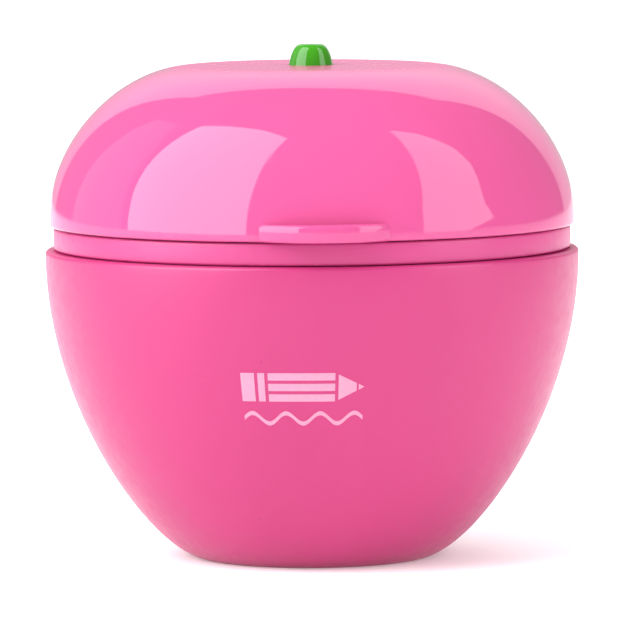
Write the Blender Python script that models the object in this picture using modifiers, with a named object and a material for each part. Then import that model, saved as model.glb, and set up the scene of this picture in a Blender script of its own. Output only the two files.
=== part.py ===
"""Apple-shaped two-hole pencil sharpener with a hinged lid, a lift-out sharpener carrier and a shavings cup.

Metres, +Z up. The object stands on Z = 0 with its axis on Z, its thumb tab at -Y and its hinge at +Y.
"""

import math

import bmesh
import bpy
from mathutils import Matrix, Vector

MM = 0.001

# ---- Driving dimensions ----
ROUND_STEPS = 48  # sides of the large turned shells
HOLE_SIDES = 24  # sides of the pencil holes
SMALL_SIDES = 16  # sides of screws, pins and their holes
MERGE = 0.00001  # merge distance of the Screw modifiers

RIM_RADIUS = 28.35 * MM  # the widest point, at the cup's rim
RIM_HEIGHT = 32.85 * MM
RIM_LIP = 0.45 * MM  # width of the rim's rounded shoulder
RIM_ROUND = 0.4 * MM  # height of the rim's rounded shoulder
CUP_BELLY = 16.3 * MM  # height of the wall curve's upper handle: a lower one keeps the wall steep for longer
CUP_TUCK = (17.85 * MM, 1.35 * MM)  # the wall curve's lower handle, which rounds it into the foot
FOOT_RADIUS = 12.3 * MM
CUP_WALL = 1.5 * MM
CUP_FLOOR = 2.0 * MM
FOOT_RECESS_RADIUS = 9.4 * MM
FOOT_RECESS = 0.5 * MM
SEAM_GAP = 0.3 * MM  # between the cup's rim and the collar

COLLAR_RADIUS = 27.5 * MM
COLLAR_TOP = 35.2 * MM
SKIRT_RADIUS = 26.4 * MM
SKIRT_WALL = 1.2 * MM
SKIRT_BOTTOM = 28.0 * MM
FIT_GAP = 0.3 * MM  # radial gap of the skirt in the cup
BEAD_HEIGHT = 29.7 * MM  # the snap bead on the skirt and its groove in the cup
BEAD_HALF = 0.4 * MM
UPSTAND_RADIUS = 25.85 * MM
UPSTAND_WALL = 1.2 * MM
UPSTAND_TOP = 37.2 * MM
LID_BEAD_DROP = 1.3 * MM  # from the upstand's top to its bead, which grips the lid
DECK_TOP = 34.6 * MM
DECK_BOTTOM = 33.0 * MM

LID_RADIUS = 28.05 * MM
LID_BOTTOM = 35.5 * MM
LID_TOP = 52.3 * MM
LID_BROW = 20.0 * MM  # radius of the lid curve's upper handle
LID_CHEEK = 44.7 * MM  # height of the lid curve's lower handle
LID_WALL = 1.6 * MM
CROWN_RADIUS = 12.8 * MM  # where the lid's flat top begins
STEM_RADIUS = 2.34 * MM
STEM_TOP = 54.5 * MM
STEM_TIP_RADIUS = 1.1 * MM  # of its flat top
STEM_HOLE = 1.5 * MM
STEM_SEAT_DEPTH = 0.4 * MM

TAB_REACH = 30.0 * MM  # from the axis to the thumb tab's front
TAB_WIDTH = 13.4 * MM
TAB_HEIGHT = 1.85 * MM

KNUCKLE_RADIUS = 1.5 * MM
HINGE_Y = TAB_REACH - KNUCKLE_RADIUS  # the hinge stands as far out behind as the tab does in front
HINGE_Z = (COLLAR_TOP + LID_BOTTOM) / 2
LID_KNUCKLE_HALF = 2.9 * MM
EAR_INNER = 3.2 * MM
EAR_OUTER = 6.2 * MM
PIN_RADIUS = 0.60 * MM
PIN_HOLE = 0.68 * MM
KNUCKLE_CLEARANCE = 0.35 * MM

FLANGE_LENGTH = 40.0 * MM
FLANGE_WIDTH = 17.0 * MM
FLANGE_BOTTOM = DECK_TOP + 0.3 * MM
FLANGE_TOP = 36.7 * MM
BLOCK_HALF_X = 15.1 * MM
BLOCK_HALF_Y = 7.3 * MM
BLOCK_BOTTOM = 11.5 * MM
BLADE_PLANES_MEET = -2.3 * MM  # where the two blade faces meet, along X
BLADE_FACE_TOP = 33.4 * MM
CUT_DEPTH = 0.4 * MM  # how far each blade face breaks into its cone
BLADE_LENGTH = 21.0 * MM
BLADE_GAP = 0.1 * MM

FLANGE_SCREW_X = 17.6 * MM
HEAD_RADIUS = 1.8 * MM
HEAD_HEIGHT = 0.95 * MM
SHANK_RADIUS = 0.9 * MM
SHANK_HOLE = 1.05 * MM
BOSS_RADIUS = 2.1 * MM
BOSS_BOTTOM = 28.4 * MM

# Each pencil hole: its place along X, guide radius, height where the cone starts, the cone's half angle in
# degrees, and its blade's width and thickness.
STANDARD = {"x": -6.6 * MM, "guide": 4.1 * MM, "cone_top": 29.5 * MM, "half_angle": 11.5,
            "blade_width": 8.0 * MM, "blade_thickness": 0.55 * MM}
JUMBO = {"x": 8.0 * MM, "guide": 5.9 * MM, "cone_top": 31.5 * MM, "half_angle": 13.5,
         "blade_width": 10.0 * MM, "blade_thickness": 0.60 * MM}

PINK = (0.85, 0.10, 0.33)
HOT_PINK = (0.93, 0.12, 0.40)
GREEN = (0.07, 0.36, 0.02)
WHITE = (0.86, 0.86, 0.84)
STEEL = (0.62, 0.63, 0.65)


# ---- Scene, materials and collections ----
def clear_scene():
    for obj in list(bpy.data.objects):
        bpy.data.objects.remove(obj, do_unlink=True)


def new_collection(name, rendered):
    collection = bpy.data.collections.new(name)
    bpy.context.scene.collection.children.link(collection)
    collection.hide_render = not rendered
    return collection


def new_material(name, colour, roughness, metallic=0.0):
    material = bpy.data.materials.new(name)
    material.use_nodes = True
    shader = material.node_tree.nodes["Principled BSDF"]
    shader.inputs["Base Color"].default_value = (*colour, 1.0)
    shader.inputs["Roughness"].default_value = roughness
    shader.inputs["Metallic"].default_value = metallic
    return material


clear_scene()
PARTS = new_collection("pencil_sharpener", rendered=True)
CUTTERS = new_collection("cutters", rendered=False)


def place(obj, material=None):
    """Puts a part in the object's collection, or a helper, which has no material, among the cutters."""
    if material:
        PARTS.objects.link(obj)
        obj.data.materials.append(material)
        return obj
    CUTTERS.objects.link(obj)
    obj.hide_render = True
    obj.display_type = "WIRE"
    return obj


# ---- Outlines ----
def bezier(start, handle_a, handle_b, end, count):
    """Points along a cubic Bezier curve, both ends included."""
    points = []
    for i in range(count):
        t = i / (count - 1)
        weights = ((1 - t) ** 3, 3 * (1 - t) ** 2 * t, 3 * (1 - t) * t * t, t**3)
        corners = (start, handle_a, handle_b, end)
        points.append(tuple(sum(w * c[k] for w, c in zip(weights, corners)) for k in (0, 1)))
    return points


def arc(centre, radius_a, radius_b, start, end, count):
    """Points on an ellipse, from one angle to another in degrees, both ends included."""
    angles = [math.radians(start + (end - start) * i / (count - 1)) for i in range(count)]
    return [(centre[0] + radius_a * math.cos(a), centre[1] + radius_b * math.sin(a)) for a in angles]


def inset(points, distance):
    """An open curve moved towards the right of its direction of travel."""
    moved = []
    for i, (x, y) in enumerate(points):
        ahead = points[min(i + 1, len(points) - 1)]
        behind = points[max(i - 1, 0)]
        along = Vector((ahead[0] - behind[0], ahead[1] - behind[1])).normalized()
        moved.append((x + along.y * distance, y - along.x * distance))
    return moved


# ---- Shapes ----
def turned(name, profile, steps, closed, material=None):
    """A (radius, height) profile turned about the Z axis by a Screw modifier."""
    mesh = bpy.data.meshes.new(name)
    count = len(profile)
    edges = [(i, (i + 1) % count) for i in range(count if closed else count - 1)]
    mesh.from_pydata([(r, 0.0, z) for r, z in profile], edges, [])
    obj = place(bpy.data.objects.new(name, mesh), material)
    screw = obj.modifiers.new("turn", "SCREW")
    screw.axis = "Z"
    screw.steps = steps
    screw.render_steps = steps
    screw.use_merge_vertices = True
    screw.merge_threshold = MERGE
    screw.use_smooth_shade = True
    return obj


def mesh_object(name, fill, material=None):
    """A new object from a bmesh that fill(bm) makes."""
    bm = bmesh.new()
    fill(bm)
    bmesh.ops.recalc_face_normals(bm, faces=bm.faces)
    mesh = bpy.data.meshes.new(name)
    bm.to_mesh(mesh)
    bm.free()
    return place(bpy.data.objects.new(name, mesh), material)


def box(name, low, high, material=None):
    """A box between two corners."""
    low, high = Vector(low), Vector(high)
    matrix = Matrix.Translation((low + high) / 2) @ Matrix.Diagonal((*(high - low), 1.0))
    return mesh_object(name, lambda bm: bmesh.ops.create_cube(bm, size=1.0, matrix=matrix), material)


def tapered(name, base, tip, radius_base, radius_tip, sides=SMALL_SIDES, material=None):
    """A cylinder or cone from base to tip, two points on its axis."""
    base, tip = Vector(base), Vector(tip)
    along = tip - base
    turn = along.to_track_quat("Z", "Y").to_matrix().to_4x4()
    matrix = Matrix.Translation((base + tip) / 2) @ turn
    obj = mesh_object(
        name, lambda bm: bmesh.ops.create_cone(
            bm, cap_ends=True, cap_tris=False, segments=sides, radius1=radius_base, radius2=radius_tip,
            depth=along.length, matrix=matrix),
        material)
    obj.data.shade_smooth()
    obj.data.set_sharp_from_angle(angle=math.radians(35))
    return obj


def plate(name, outline, bottom, top, material=None):
    """A flat closed outline, made as a filled 2D curve with thickness and then turned into a mesh."""
    curve = bpy.data.curves.new(name, "CURVE")
    curve.dimensions = "2D"
    curve.fill_mode = "BOTH"
    curve.extrude = (top - bottom) / 2
    spline = curve.splines.new("POLY")
    spline.points.add(len(outline) - 1)
    for point, (x, y) in zip(spline.points, outline):
        point.co = (x, y, 0.0, 1.0)
    spline.use_cyclic_u = True
    guide = bpy.data.objects.new(name + "_guide", curve)
    guide.location.z = (top + bottom) / 2
    CUTTERS.objects.link(guide)
    bpy.context.view_layer.update()
    graph = bpy.context.evaluated_depsgraph_get()
    mesh = bpy.data.meshes.new_from_object(guide.evaluated_get(graph))
    mesh.transform(guide.matrix_world)
    bpy.data.objects.remove(guide)
    bm = bmesh.new()
    bm.from_mesh(mesh)
    bmesh.ops.remove_doubles(bm, verts=bm.verts, dist=MERGE)
    bmesh.ops.recalc_face_normals(bm, faces=bm.faces)
    bm.to_mesh(mesh)
    bm.free()
    mesh.materials.clear()
    return place(bpy.data.objects.new(name, mesh), material)


def boolean(obj, helper, operation):
    modifier = obj.modifiers.new(helper.name, "BOOLEAN")
    modifier.operation = operation
    modifier.object = helper
    return obj


def cut(obj, *helpers):
    for helper in helpers:
        boolean(obj, helper, "DIFFERENCE")


def join(obj, *helpers):
    for helper in helpers:
        boolean(obj, helper, "UNION")


def hinge_barrel(name, x_low, x_high, radius):
    """A cylinder along the hinge's axis."""
    return tapered(name, (x_low, HINGE_Y, HINGE_Z), (x_high, HINGE_Y, HINGE_Z), radius, radius)


# ---- The shavings cup ----
def cup_profile():
    outside = bezier(
        (RIM_RADIUS, RIM_HEIGHT - RIM_ROUND), (RIM_RADIUS, CUP_BELLY), CUP_TUCK, (FOOT_RADIUS, 0.0), 15)
    seat_radius = SKIRT_RADIUS + FIT_GAP
    seat_bottom = SKIRT_BOTTOM - 0.5 * MM
    inside = [p for p in inset(outside, CUP_WALL) if CUP_FLOOR + 0.2 * MM < p[1] < seat_bottom]
    floor_edge = (inside[-1][0] - 1.0 * MM, CUP_FLOOR)
    groove_half = BEAD_HALF + 0.1 * MM
    groove = [
        (seat_radius, BEAD_HEIGHT - groove_half), (seat_radius + 0.2 * MM, BEAD_HEIGHT),
        (seat_radius, BEAD_HEIGHT + groove_half)]
    rim = arc((RIM_RADIUS - RIM_LIP, RIM_HEIGHT - RIM_ROUND), RIM_LIP, RIM_ROUND, 90, 0, 4)
    foot = [(FOOT_RECESS_RADIUS + 0.4 * MM, 0.0), (FOOT_RECESS_RADIUS, FOOT_RECESS), (0.0, FOOT_RECESS)]
    return [
        (0.0, CUP_FLOOR), floor_edge, *reversed(inside),
        (inside[0][0], seat_bottom), (seat_radius, seat_bottom),
        *groove, (seat_radius, RIM_HEIGHT - 0.3 * MM), (seat_radius + 0.3 * MM, RIM_HEIGHT),
        *rim, *outside[1:], *foot]


def make_cup(material):
    return turned("cup", cup_profile(), ROUND_STEPS, closed=False, material=material)


# ---- The carrier: collar, skirt, deck, upstand and hinge ears ----
def carrier_profile():
    corner = 0.3 * MM
    collar_bottom = RIM_HEIGHT + SEAM_GAP
    upstand_inner = UPSTAND_RADIUS - UPSTAND_WALL
    upper = [
        (0.0, DECK_TOP), (upstand_inner, DECK_TOP), (upstand_inner, UPSTAND_TOP - corner),
        (upstand_inner + corner, UPSTAND_TOP), (UPSTAND_RADIUS - corner, UPSTAND_TOP),
        (UPSTAND_RADIUS, UPSTAND_TOP - corner)]
    lid_bead_height = UPSTAND_TOP - LID_BEAD_DROP
    lid_bead = [
        (UPSTAND_RADIUS, lid_bead_height + 0.3 * MM), (UPSTAND_RADIUS + 0.2 * MM, lid_bead_height),
        (UPSTAND_RADIUS, lid_bead_height - 0.3 * MM)]
    collar = [
        (UPSTAND_RADIUS, COLLAR_TOP),
        (COLLAR_RADIUS - corner, COLLAR_TOP), (COLLAR_RADIUS, COLLAR_TOP - corner),
        (COLLAR_RADIUS, collar_bottom + corner), (COLLAR_RADIUS - corner, collar_bottom),
        (SKIRT_RADIUS, collar_bottom)]
    cup_bead = [
        (SKIRT_RADIUS, BEAD_HEIGHT + BEAD_HALF), (SKIRT_RADIUS + 0.15 * MM, BEAD_HEIGHT),
        (SKIRT_RADIUS, BEAD_HEIGHT - BEAD_HALF)]
    skirt_inner = SKIRT_RADIUS - SKIRT_WALL
    skirt = [
        (SKIRT_RADIUS, SKIRT_BOTTOM + 0.5 * MM), (SKIRT_RADIUS - 0.5 * MM, SKIRT_BOTTOM),
        (skirt_inner, SKIRT_BOTTOM), (skirt_inner, DECK_BOTTOM), (0.0, DECK_BOTTOM)]
    return [*upper, *lid_bead, *collar, *cup_bead, *skirt]


def make_carrier(material):
    carrier = turned("carrier", carrier_profile(), ROUND_STEPS, closed=False, material=material)
    inner = EAR_INNER - 0.4 * MM  # trimmed back by the cut for the lid's knuckle
    for side, sign in (("left", -1), ("right", 1)):
        near, far = sorted((sign * inner, sign * EAR_OUTER))
        join(
            carrier,
            box(f"ear_web_{side}", (near + 0.2 * MM, COLLAR_RADIUS - 1.2 * MM, HINGE_Z - 1.3 * MM),
                (far - 0.2 * MM, HINGE_Y, HINGE_Z - 0.5 * MM)),
            hinge_barrel(f"ear_{side}", near, far, KNUCKLE_RADIUS),
            tapered(f"boss_{side}", (sign * FLANGE_SCREW_X, 0, DECK_BOTTOM + 0.4 * MM),
                    (sign * FLANGE_SCREW_X, 0, BOSS_BOTTOM), BOSS_RADIUS, BOSS_RADIUS - 0.2 * MM))
        cut(carrier, tapered(f"pilot_{side}", (sign * FLANGE_SCREW_X, 0, DECK_TOP + MM),
                             (sign * FLANGE_SCREW_X, 0, BOSS_BOTTOM - MM), SHANK_HOLE, SHANK_HOLE))
    clearance = 0.3 * MM
    cut(
        carrier,
        box("block_opening", (-BLOCK_HALF_X - clearance, -BLOCK_HALF_Y - clearance, DECK_BOTTOM - MM),
            (BLOCK_HALF_X + clearance, BLOCK_HALF_Y + clearance, DECK_TOP + MM)),
        hinge_barrel("lid_knuckle_room", -EAR_INNER, EAR_INNER, KNUCKLE_RADIUS + KNUCKLE_CLEARANCE),
        hinge_barrel("ear_pin_hole", -EAR_OUTER - MM, EAR_OUTER + MM, PIN_HOLE))
    return carrier


def make_hinge_pin(material):
    end = EAR_OUTER - 0.2 * MM
    return tapered("hinge_pin", (-end, HINGE_Y, HINGE_Z), (end, HINGE_Y, HINGE_Z), PIN_RADIUS, PIN_RADIUS,
                   material=material)


# ---- The sharpener block, its blades and screws ----
def cone_radius(hole, height):
    return hole["guide"] - (hole["cone_top"] - height) * math.tan(math.radians(hole["half_angle"]))


def blade_frame(hole):
    """The blade face's axes: origin on the cutting line at the block's foot, Y up the slope, Z outwards."""
    angle = math.radians(hole["half_angle"])
    outwards = Vector((0, -math.cos(angle), -math.sin(angle)))
    up_slope = Vector((0, -math.sin(angle), math.cos(angle)))
    depth = cone_radius(hole, BLOCK_BOTTOM) - CUT_DEPTH / math.cos(angle)
    matrix = Matrix((Vector((1, 0, 0)), up_slope, outwards)).transposed().to_4x4()
    matrix.translation = Vector((hole["x"], -depth, BLOCK_BOTTOM))
    return matrix


def blade_centre(hole):
    """The middle of the blade, on the blade face, in the blade face's own axes."""
    return Vector((-hole["blade_width"] / 2, BLADE_LENGTH / 2 + 0.4 * MM, 0))


def stadium(length, width, count):
    """A rectangle with fully round ends."""
    radius = width / 2
    centre = length / 2 - radius
    right_end = arc((centre, 0), radius, radius, -90, 90, count)
    left_end = arc((-centre, 0), radius, radius, 90, 270, count)
    return right_end + left_end


def bore_profile(hole):
    """A pencil hole's cutter, from above the flange to below the block: chamfer, straight guide and cone."""
    beyond = 1.0 * MM
    chamfer = 0.8 * MM
    foot = BLOCK_BOTTOM - beyond
    return [
        (0.0, FLANGE_TOP + beyond), (hole["guide"] + chamfer + beyond, FLANGE_TOP + beyond),
        (hole["guide"], FLANGE_TOP - chamfer), (hole["guide"], hole["cone_top"]),
        (cone_radius(hole, foot), foot), (0.0, foot)]


def make_block(material):
    flange = stadium(FLANGE_LENGTH, FLANGE_WIDTH, 12)
    block = plate("sharpener_block", flange, FLANGE_BOTTOM, FLANGE_TOP, material)
    join(block, box("block_body", (-BLOCK_HALF_X, -BLOCK_HALF_Y, BLOCK_BOTTOM),
                    (BLOCK_HALF_X, BLOCK_HALF_Y, FLANGE_BOTTOM + 0.5 * MM)))
    beyond = 2.0 * MM
    lap = 0.1 * MM  # the two face cuts run into each other a little
    spans = {
        "standard": (STANDARD, -BLOCK_HALF_X - beyond, BLADE_PLANES_MEET + lap),
        "jumbo": (JUMBO, BLADE_PLANES_MEET - lap, BLOCK_HALF_X + beyond),
    }
    for name, (hole, x_low, x_high) in spans.items():
        frame = blade_frame(hole)
        slope = math.cos(math.radians(hole["half_angle"]))
        face_length = (BLADE_FACE_TOP - BLOCK_BOTTOM) / slope
        face = box(f"{name}_face", (x_low - hole["x"], -beyond, 0.0),
                   (x_high - hole["x"], face_length, 9.0 * MM))
        face.matrix_world = frame
        throat = box(f"{name}_throat", (0.3 * MM, -beyond, -1.0 * MM), (2.4 * MM, face_length - MM, 2.0 * MM))
        throat.matrix_world = frame
        bore = turned(f"{name}_bore", bore_profile(hole), HOLE_SIDES, closed=False)
        bore.location.x = hole["x"]
        screw_hole = tapered(f"{name}_screw_hole", blade_centre(hole) + Vector((0, 0, MM)),
                             blade_centre(hole) - Vector((0, 0, 4.4 * MM)), SHANK_HOLE, SHANK_HOLE)
        screw_hole.matrix_world = frame
        cut(block, bore, face, throat, screw_hole)
    seat_height = FLANGE_TOP - HEAD_HEIGHT - 0.05 * MM
    seat_radius = HEAD_RADIUS + 0.2 * MM
    for side, sign in (("left", -1), ("right", 1)):
        x = sign * FLANGE_SCREW_X
        cut(
            block,
            tapered(f"flange_hole_{side}", (x, 0, FLANGE_TOP + MM), (x, 0, FLANGE_BOTTOM - MM), SHANK_HOLE,
                    SHANK_HOLE),
            tapered(f"head_seat_{side}", (x, 0, FLANGE_TOP + MM), (x, 0, seat_height), seat_radius,
                    seat_radius))
    return block


def make_blade(name, hole, material):
    """A flat blade with a screw hole, both of its long edges ground at a slant."""
    half_width = hole["blade_width"] / 2
    thick = hole["blade_thickness"]
    grind = 1.0 * MM
    edge = 0.12 * MM
    section = [(-half_width, 0.0), (half_width, 0.0), (half_width, edge), (half_width - grind, thick),
               (-half_width + grind, thick), (-half_width, edge)]
    blade = plate(name, section, -BLADE_LENGTH / 2, BLADE_LENGTH / 2, material)
    blade.data.transform(Matrix.Rotation(math.radians(90), 4, "X"))  # the section's Y becomes the thickness
    centre = blade_centre(hole) + Vector((0, 0, BLADE_GAP))
    blade.matrix_world = blade_frame(hole) @ Matrix.Translation(centre)
    hole_radius = SHANK_HOLE + 0.2 * MM
    hole_cutter = tapered(f"{name}_hole", (0, 0, -MM), (0, 0, 2 * MM), hole_radius, hole_radius)
    hole_cutter.matrix_world = blade.matrix_world
    cut(blade, hole_cutter)
    return blade


def make_screw(name, matrix, shank_length, recess, material):
    """A screw on its own Z axis, the underside of its head at Z = 0, with a slot or a cross in the head."""
    profile = [
        (0.0, HEAD_HEIGHT), (HEAD_RADIUS * 0.8, HEAD_HEIGHT), (HEAD_RADIUS, HEAD_HEIGHT * 0.6),
        (HEAD_RADIUS, 0.0),
        (SHANK_RADIUS, 0.0), (SHANK_RADIUS, -shank_length + 0.6 * MM), (SHANK_RADIUS * 0.3, -shank_length),
        (0.0, -shank_length)]
    screw = turned(name, profile, SMALL_SIDES, closed=False, material=material)
    screw.matrix_world = matrix
    slot_half = 0.25 * MM
    reach = HEAD_RADIUS * (2.0 if recess == "slot" else 0.62)
    for i in range(1 if recess == "slot" else 2):
        slot = box(f"{name}_recess_{i}", (-reach, -slot_half, HEAD_HEIGHT * 0.45), (reach, slot_half, 2 * MM))
        slot.matrix_world = matrix @ Matrix.Rotation(math.radians(90 * i), 4, "Z")
        cut(screw, slot)
    return screw


def make_blade_screw(name, hole, material):
    lift = hole["blade_thickness"] + BLADE_GAP * 2
    matrix = blade_frame(hole) @ Matrix.Translation(blade_centre(hole) + Vector((0, 0, lift)))
    return make_screw(name, matrix, 4.4 * MM, "slot", material)


def make_flange_screw(name, sign, material):
    matrix = Matrix.Translation((sign * FLANGE_SCREW_X, 0, FLANGE_TOP - HEAD_HEIGHT))
    return make_screw(name, matrix, 6.6 * MM, "cross", material)


# ---- The lid and its stem ----
def lid_profile():
    corner = 0.3 * MM
    outside = bezier((CROWN_RADIUS, LID_TOP), (LID_BROW, LID_TOP), (LID_RADIUS, LID_CHEEK),
                     (LID_RADIUS, LID_BOTTOM + corner), 14)
    inside = inset(outside, LID_WALL)
    seat_radius = STEM_RADIUS + 0.1 * MM
    seat_height = LID_TOP - STEM_SEAT_DEPTH
    crown = [(STEM_HOLE, seat_height), (seat_radius, seat_height), (seat_radius, LID_TOP)]
    underside = LID_TOP - LID_WALL
    return [
        *crown, *outside, (LID_RADIUS - corner, LID_BOTTOM), (inside[-1][0], LID_BOTTOM),
        *reversed(inside), (STEM_HOLE, underside)]


def tab_outline():
    """The thumb tab from above: a shallow arc that meets the lid's wall at both ends."""
    half = TAB_WIDTH / 2
    chord = math.sqrt(LID_RADIUS**2 - half**2)
    rise = TAB_REACH - chord
    radius = (half**2 + rise**2) / (2 * rise)
    sweep = math.degrees(math.asin(half / radius))
    front = arc((0, -TAB_REACH + radius), radius, radius, -90 - sweep, -90 + sweep, 13)
    middle = LID_RADIUS - LID_WALL / 2
    turn = math.degrees(math.asin(half / middle)) - 1
    back = arc((0, 0), middle, middle, -90 + turn, -90 - turn, 7)
    return front + back


def make_lid(material):
    lid = turned("lid", lid_profile(), ROUND_STEPS, closed=True, material=material)
    tab = plate("thumb_tab", tab_outline(), LID_BOTTOM, LID_BOTTOM + TAB_HEIGHT)
    bevel = tab.modifiers.new("rounded_edges", "BEVEL")
    bevel.width = 0.4 * MM
    bevel.segments = 2
    web_half = LID_KNUCKLE_HALF - 0.2 * MM
    web = box("lid_knuckle_web", (-web_half, LID_RADIUS - 1.0 * MM, HINGE_Z + 0.5 * MM),
              (web_half, HINGE_Y, HINGE_Z + 1.3 * MM))
    knuckle = hinge_barrel("lid_knuckle", -LID_KNUCKLE_HALF, LID_KNUCKLE_HALF, KNUCKLE_RADIUS)
    join(lid, tab, web, knuckle)
    for side, sign in (("left", -1), ("right", 1)):
        near, far = sorted((sign * (EAR_INNER - 0.2 * MM), sign * (EAR_OUTER + 0.3 * MM)))
        cut(lid, hinge_barrel(f"ear_room_{side}", near, far, KNUCKLE_RADIUS + KNUCKLE_CLEARANCE))
    cut(lid, hinge_barrel("knuckle_pin_hole", -EAR_INNER, EAR_INNER, PIN_HOLE))
    return lid


def make_stem(material):
    """The stalk: a blunt cone over a barbed peg that snaps through the lid's crown."""
    base = LID_TOP - STEM_SEAT_DEPTH + 0.1 * MM
    underside = LID_TOP - LID_WALL
    shank = STEM_HOLE - 0.2 * MM
    barb = STEM_HOLE + 0.3 * MM
    flank = bezier((STEM_TIP_RADIUS, STEM_TOP), (STEM_TIP_RADIUS + 0.65 * MM, STEM_TOP),
                   (STEM_RADIUS - 0.14 * MM, LID_TOP + 1.0 * MM), (STEM_RADIUS, LID_TOP), 9)
    profile = [
        (0.0, STEM_TOP), *flank, (STEM_RADIUS, base), (shank, base),
        (shank, underside - 0.3 * MM), (barb, underside - 0.4 * MM), (barb, underside - 0.7 * MM),
        (shank * 0.8, underside - 2.0 * MM), (0.0, underside - 2.0 * MM)]
    return turned("stem", profile, HOLE_SIDES, closed=False, material=material)


# ---- Assembly ----
def axis_empty(name, location, parent=None):
    empty = bpy.data.objects.new(name, None)
    PARTS.objects.link(empty)
    empty.location = location
    if parent:
        hang(empty, parent)
    return empty


def hang(obj, parent):
    """Parents obj without moving it."""
    bpy.context.view_layer.update()
    obj.parent = parent
    obj.matrix_parent_inverse = parent.matrix_world.inverted()


def build():
    satin_pink = new_material("satin_pink_plastic", PINK, 0.45)
    collar_pink = new_material("satin_hot_pink_plastic", HOT_PINK, 0.40)
    gloss_pink = new_material("gloss_pink_plastic", HOT_PINK, 0.06)
    green = new_material("green_plastic", GREEN, 0.15)
    white = new_material("white_plastic", WHITE, 0.4)
    steel = new_material("steel", STEEL, 0.25, 1.0)

    make_cup(satin_pink)
    lift = axis_empty("carrier_lift", (0, 0, RIM_HEIGHT))
    fold = axis_empty("lid_hinge", (0, HINGE_Y, HINGE_Z), parent=lift)

    carried = [
        make_carrier(collar_pink),
        make_hinge_pin(steel),
        make_block(white),
        make_blade("standard_blade", STANDARD, steel),
        make_blade("jumbo_blade", JUMBO, steel),
        make_blade_screw("standard_blade_screw", STANDARD, steel),
        make_blade_screw("jumbo_blade_screw", JUMBO, steel),
        make_flange_screw("flange_screw_left", -1, steel),
        make_flange_screw("flange_screw_right", 1, steel),
    ]
    for part in carried:
        hang(part, lift)
    for part in (make_lid(gloss_pink), make_stem(green)):
        hang(part, fold)


build()
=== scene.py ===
"""Looks of the apple-shaped pencil sharpener: fine surfaces, materials, floor, light and camera."""

import math

import bmesh
import bpy
from mathutils import Matrix, Vector


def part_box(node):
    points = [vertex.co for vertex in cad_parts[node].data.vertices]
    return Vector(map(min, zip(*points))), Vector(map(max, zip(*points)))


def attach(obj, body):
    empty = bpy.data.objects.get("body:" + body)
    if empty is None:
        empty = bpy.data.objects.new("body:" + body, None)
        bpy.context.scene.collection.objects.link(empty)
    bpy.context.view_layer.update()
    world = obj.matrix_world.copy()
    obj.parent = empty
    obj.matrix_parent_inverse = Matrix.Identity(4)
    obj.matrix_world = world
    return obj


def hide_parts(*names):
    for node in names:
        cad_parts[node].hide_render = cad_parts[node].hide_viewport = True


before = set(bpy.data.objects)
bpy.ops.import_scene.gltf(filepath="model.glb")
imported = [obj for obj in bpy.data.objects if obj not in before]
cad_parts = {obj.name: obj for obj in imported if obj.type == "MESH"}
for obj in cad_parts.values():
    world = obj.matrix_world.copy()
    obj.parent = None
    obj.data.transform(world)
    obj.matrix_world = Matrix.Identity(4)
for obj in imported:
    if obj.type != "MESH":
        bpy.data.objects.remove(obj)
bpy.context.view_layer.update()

MM = 0.001

# ---- Sizes read from the frame ----
RIM_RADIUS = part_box("cup")[1].x
RIM_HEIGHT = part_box("cup")[1].z
LID_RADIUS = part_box("lid")[1].x
LID_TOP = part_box("lid")[1].z
STEM_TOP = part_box("stem")[1].z
TAB_REACH = -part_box("lid")[0].y
COLLAR_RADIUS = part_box("carrier")[1].x
SKIRT_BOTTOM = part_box("carrier")[0].z
PIN_LOW, PIN_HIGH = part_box("hinge_pin")
BLOCK_LOW, BLOCK_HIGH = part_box("sharpener_block")

HINGE_Y = (PIN_LOW.y + PIN_HIGH.y) / 2
HINGE_Z = (PIN_LOW.z + PIN_HIGH.z) / 2
PIN_RADIUS = (PIN_HIGH.z - PIN_LOW.z) / 2
PIN_HOLE = PIN_RADIUS + 0.08 * MM

# The hinge's axis is level with the seam between collar and lid. Both seams are hairlines.
LID_BOTTOM = HINGE_Z + 0.06 * MM
COLLAR_TOP = HINGE_Z - 0.05 * MM
COLLAR_BOTTOM = RIM_HEIGHT + 0.07 * MM

# ---- Other sizes ----
CLEARANCE = 0.3 * MM  # between pieces that fit into each other
ROUND_STEPS = 288
HOLE_STEPS = 96
SMALL_STEPS = 48
ON_AXIS = 1e-9  # a point with a smaller radius lies on the axis
LEVEL = 1e-7  # an edge whose ends differ less in height is level

FOOT_RADIUS = 12.3 * MM
RIM_LIP = 0.45 * MM
RIM_ROUND = 0.4 * MM
CUP_BELLY = 16.3 * MM  # the height of the outer wall's upper curve handle
CUP_TUCK = (17.85 * MM, 1.35 * MM)  # the radius and height of its lower one
CUP_WALL = 1.5 * MM
CUP_FLOOR = 2.0 * MM
SEAT_BOTTOM = SKIRT_BOTTOM - 0.5 * MM
FOOT_RECESS_RADIUS = 9.4 * MM
FOOT_RECESS = 0.5 * MM
SKIRT_RADIUS = 26.4 * MM
BEAD_HEIGHT = 29.7 * MM
BEAD_HALF = 0.4 * MM
UPSTAND_RADIUS = 25.85 * MM
UPSTAND_WALL = 1.2 * MM
UPSTAND_TOP = 37.2 * MM
LID_BEAD_DROP = 1.3 * MM
DECK_TOP = 34.6 * MM
DECK_BOTTOM = 33.0 * MM
LID_WALL = 1.6 * MM
CROWN_RADIUS = 12.8 * MM
LID_BROW = 20.0 * MM  # the radius of the dome's upper curve handle
LID_CHEEK = 44.7 * MM  # the height of its lower one
STEM_RADIUS = 2.34 * MM
STEM_HOLE = 1.5 * MM
STEM_SEAT_DEPTH = 0.4 * MM
STEM_TIP_RADIUS = 1.1 * MM
TAB_WIDTH = 13.4 * MM
TAB_HEIGHT = 1.85 * MM
KNUCKLE_RADIUS = 1.5 * MM
KNUCKLE_ROOM = 1.85 * MM  # the radius kept free about the hinge's axis
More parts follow.
